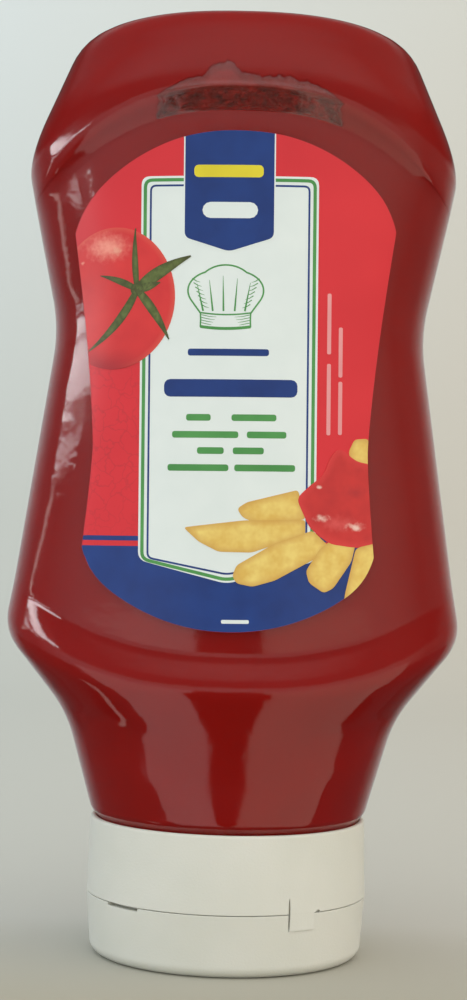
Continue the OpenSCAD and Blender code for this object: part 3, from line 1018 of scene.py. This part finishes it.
cap_material = white_plastic()
seat_radius, seat_floor = 26.2, 24.25
socket_radius, socket_floor = 19.15, 15.1
lip = 0.25
seam_foot = seam_height + 0.02
seam_top = seam_height + seam_gap
collar_line = ([(0, seam_foot), (cap_radius - 0.9, seam_foot), (cap_radius - 0.9, seam_top),
                (cap_radius - 0.1, seam_top), (cap_radius, seam_top + 0.1)]
               + arc((cap_radius - 0.9, cap_height - 0.5), 0.5, 0, 90)
               + arc((seat_radius + lip, cap_height - lip), lip, 90, 180, 3)
               + [(seat_radius, seat_floor), (socket_radius, seat_floor), (socket_radius, socket_floor),
                  (0, socket_floor)])
collar = turned("collar", collar_line)
strap = block((strap_width, 1.4, 3.4), strap_turn, cap_radius - 0.7, 10.7)
strap_face = cap_radius - 0.02
strap_form = turned("strap_form", [(0, 8), (strap_face, 8), (strap_face, 14), (0, 14)])
combine(strap, strap_form, "INTERSECT")
combine(collar, strap, "UNION")
combine(collar, block(slit_size, slit_turn, cap_radius, seam_height, lens=True), "DIFFERENCE")
notch = block((1.1, 1.2, 0.6), strap_turn + 7.6, cap_radius, seam_height + 0.3, lens=True)
combine(collar, notch, "DIFFERENCE")
collar.data.materials.append(cap_material)
smooth(collar, 35)
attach(collar, "root")
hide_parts("cap_collar")


# ------------------------------------------------------------------------------
# The lid
# The lower part of the cap, which the bottle stands on, moulded with the collar and closed. It tapers a
# little to a rounded foot, and has a narrow finger slot under the seam at the left.

lid_foot = 27.0
foot_round = 2.4
slot_turn = -46
slot_size = (8.6, 4.4, 1.1)
hollow_radius, hollow_depth = 21.0, 0.35
lid_line = ([(0, hollow_depth), (hollow_radius, hollow_depth), (hollow_radius + 0.4, 0)]
            + arc((lid_foot - foot_round, foot_round), foot_round, -90, 0, 10)
            + [(cap_radius, seam_height - 0.08), (cap_radius - 0.08, seam_height), (0, seam_height)])
lid = turned("lid", lid_line)
combine(lid, block((strap_width + 0.05, 3.4, 4.05), strap_turn, cap_radius + 0.27, 11.0), "DIFFERENCE")
combine(lid, block(slit_size, slit_turn, cap_radius, seam_height, lens=True), "DIFFERENCE")
combine(lid, block(slot_size, slot_turn, cap_radius, seam_height), "DIFFERENCE")
lid.data.materials.append(cap_material)
smooth(lid, 35)
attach(lid, "root")
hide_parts("cap_lid")


# ------------------------------------------------------------------------------
# The floor, the light and the camera
# A pale floor that sweeps up behind the bottle, an even studio sky that is cooler on the left, and cards
# and narrow windows that only the bottle's gloss shows.

floor_back = 0.5
floor_reach = 3
sweep_radius = 0.9
bpy.ops.mesh.primitive_plane_add(size=2)
sweep = bpy.context.object
sweep.name = "floor_sweep"
for vertex in sweep.data.vertices:
    vertex.co = (vertex.co.x * floor_reach, floor_back if vertex.co.y > 0 else -floor_reach, 0)
bpy.ops.object.mode_set(mode="EDIT")
bpy.ops.mesh.select_mode(type="VERT")
bpy.ops.mesh.select_all(action="DESELECT")
bpy.ops.object.mode_set(mode="OBJECT")
for vertex in sweep.data.vertices:
    vertex.select = vertex.co.y > 0
bpy.ops.object.mode_set(mode="EDIT")
bpy.ops.mesh.select_mode(type="EDGE")
bpy.ops.mesh.spin(steps=24, angle=-math.pi / 2, center=(0, floor_back, sweep_radius), axis=(1, 0, 0))
bpy.ops.mesh.extrude_region_move(TRANSFORM_OT_translate={"value": (0, 0, 2)})
bpy.ops.mesh.select_all(action="SELECT")
bpy.ops.object.mode_set(mode="OBJECT")
smooth(sweep)
floor_material, tree, shader = new_material("pale floor")
# The floor's colour holds painted light. Painted shade makes it darker low down and in front of the bottle,
# and painted cool light on the left and warm light on the right tint it.
parts = node(tree, "SeparateXYZ", in_Vector=node(tree, "TexCoord").outputs["Object"])
across = ranged(tree, parts.outputs["X"], 0, 1, -0.25, 0.25)
up = ranged(tree, parts.outputs["Z"], 0, 1, 0.08, 0.50)
front = ranged(tree, parts.outputs["Y"], 1, 0, -0.045, 0.03)
low_painted_shade_colour = mixed(tree, across, linear(182, 190, 190), linear(190, 181, 168))
# Painted shade: the floor in front of the bottle is darker.
low_painted_shade_colour = mixed(tree, front, low_painted_shade_colour, linear(170, 167, 153))
# Painted light: the sweep is lighter higher up, cooler on the left and warmer on the right.
high_painted_light_colour = mixed(tree, across, linear(207, 215, 218), linear(200, 198, 191))
feed(tree, shader, Base_Color=mixed(tree, up, low_painted_shade_colour, high_painted_light_colour), Roughness=0.9, Specular_IOR_Level=0.1)
sweep.data.materials.append(floor_material)
sweep.visible_glossy = False

black = (0, 0, 0, 1)
card_reach = 0.57
pale_reach = 0.62
shade_reach = 0.64


def curved_card(name, turns, heights, distance, colour, strength):
    """A card bent round the bottle that only its gloss shows. The turns are from the front towards the right,
    as first and last turn at the card's foot and then at its top; the heights are of its foot and top."""
    card, places = new_grid(name, 16, 4)
    for vertex, (across, up) in zip(card.data.vertices, places):
        first = turns[0] + (turns[2] - turns[0]) * up
        last = turns[1] + (turns[3] - turns[1]) * up
        turn = math.radians(first + (last - first) * across)
        height = heights[0] + (heights[1] - heights[0]) * up
        vertex.co = (distance * math.sin(turn), -distance * math.cos(turn), height)
    material, tree, shader = new_material(name)
    feed(tree, shader, Base_Color=black, Specular_IOR_Level=0, Emission_Color=colour,
         Emission_Strength=strength)
    card.data.materials.append(material)
    for kind in ("camera", "diffuse", "transmission", "shadow"):
        setattr(card, "visible_" + kind, False)


curved_card("dark_card_low", (-5.8, 5.0, -9.4, 7.6), (-0.47, -0.05), card_reach, black, 0)
curved_card("dark_card_high", (-9.4, 7.6, -5.4, 4.4), (-0.05, 0.058), card_reach, black, 0)
curved_card("pale_card_left", (-46, -2, -52, -2), (-0.64, 0.058), pale_reach, (1.0, 0.90, 0.88, 1), 1.25)
curved_card("pale_card_right", (2, 82, 2, 68), (-0.64, 0.058), pale_reach, (1.0, 0.84, 0.70, 1), 1.15)
curved_card("shade_card_left", (-128, -66, -128, -52), (-0.60, -0.03), shade_reach, (0.9, 0.9, 0.9, 1), 0.10)
curved_card("shade_card_right", (84, 128, 70, 128), (-0.60, -0.03), shade_reach, (0.9, 0.9, 0.9, 1), 0.10)
curved_card("window_flank", (-109, -106, -100, -94), (0.100, 0.146), card_reach, (1.0, 0.92, 0.85, 1), 2.3)
curved_card("window_high", (-102, -62, -102, -60), (0.182, 0.214), card_reach, (0.97, 0.98, 1.0, 1), 8.5)
curved_card("window_high_2", (-102, -74, -102, -72), (0.156, 0.166), card_reach, (0.97, 0.98, 1.0, 1), 5.0)
curved_card("window_low", (-79, -72, -79, -72), (-0.60, -0.42), card_reach, (1.0, 0.90, 0.82, 1), 1.7)

world = bpy.context.scene.world or bpy.data.worlds.new("studio")
bpy.context.scene.world = world
world.use_nodes = True
tree = world.node_tree
parts = node(tree, "SeparateXYZ", in_Vector=node(tree, "TexCoord").outputs["Generated"])
rightness = ranged(tree, parts.outputs["X"], 0, 1, -0.9, 0.9)
sky = mixed(tree, rightness, (0.90, 0.98, 1.03, 1), (1.09, 1.02, 0.90, 1))


def brightness_along(direction, tint, stops):
    """The sky's brightness along an axis, from stops that lie between 0 at its foot and 1 at its head."""
    ramp = node(tree, "ValToRGB", in_Fac=ranged(tree, parts.outputs[direction], 0, 1, -1, 1))
    elements = ramp.color_ramp.elements
    for i, (position, brightness) in enumerate(stops):
        stop = elements[i] if i < 2 else elements.new(position)
        stop.position = position
        stop.color = (brightness, brightness * tint[0], brightness * tint[1], 1)
    return ramp.outputs["Color"]


bands = brightness_along("Z", (0.95, 0.84), ((0.30, 0.12), (0.42, 0.62), (0.575, 0.62), (0.61, 0.08),
                                             (0.72, 0.08), (0.79, 0.52)))
sides = brightness_along("Y", (1, 1), ((0.20, 1), (0.47, 0.3), (0.74, 0.3), (0.94, 0.9)))
ray = node(tree, "LightPath").outputs
gloss_only = worked(tree, "Math", "SUBTRACT", ray["Is Glossy Ray"], ray["Is Transmission Ray"])
gloss_only.node.use_clamp = True
seen = mixed(tree, ray["Is Camera Ray"], (1.35, 1.35, 1.35, 1), (0.64, 0.64, 0.64, 1))
strength = mixed(tree, gloss_only, seen, mixed(tree, 1.0, bands, sides, blend="MULTIPLY"))
feed(tree, tree.nodes["Background"], Color=sky, Strength=strength)

camera_distance = 0.428
camera_height = 0.090
camera_lens = 77.04
camera_roll = math.radians(-1.45)
bpy.ops.object.camera_add(location=(-0.0004, -camera_distance, camera_height))
camera = bpy.context.object
camera.data.lens = camera_lens
camera.data.sensor_width = 36
camera.data.clip_start = 0.01
camera.rotation_euler = (math.radians(90), camera_roll, 0)
bpy.context.scene.camera = camera
bpy.context.scene.view_settings.view_transform = "Standard"
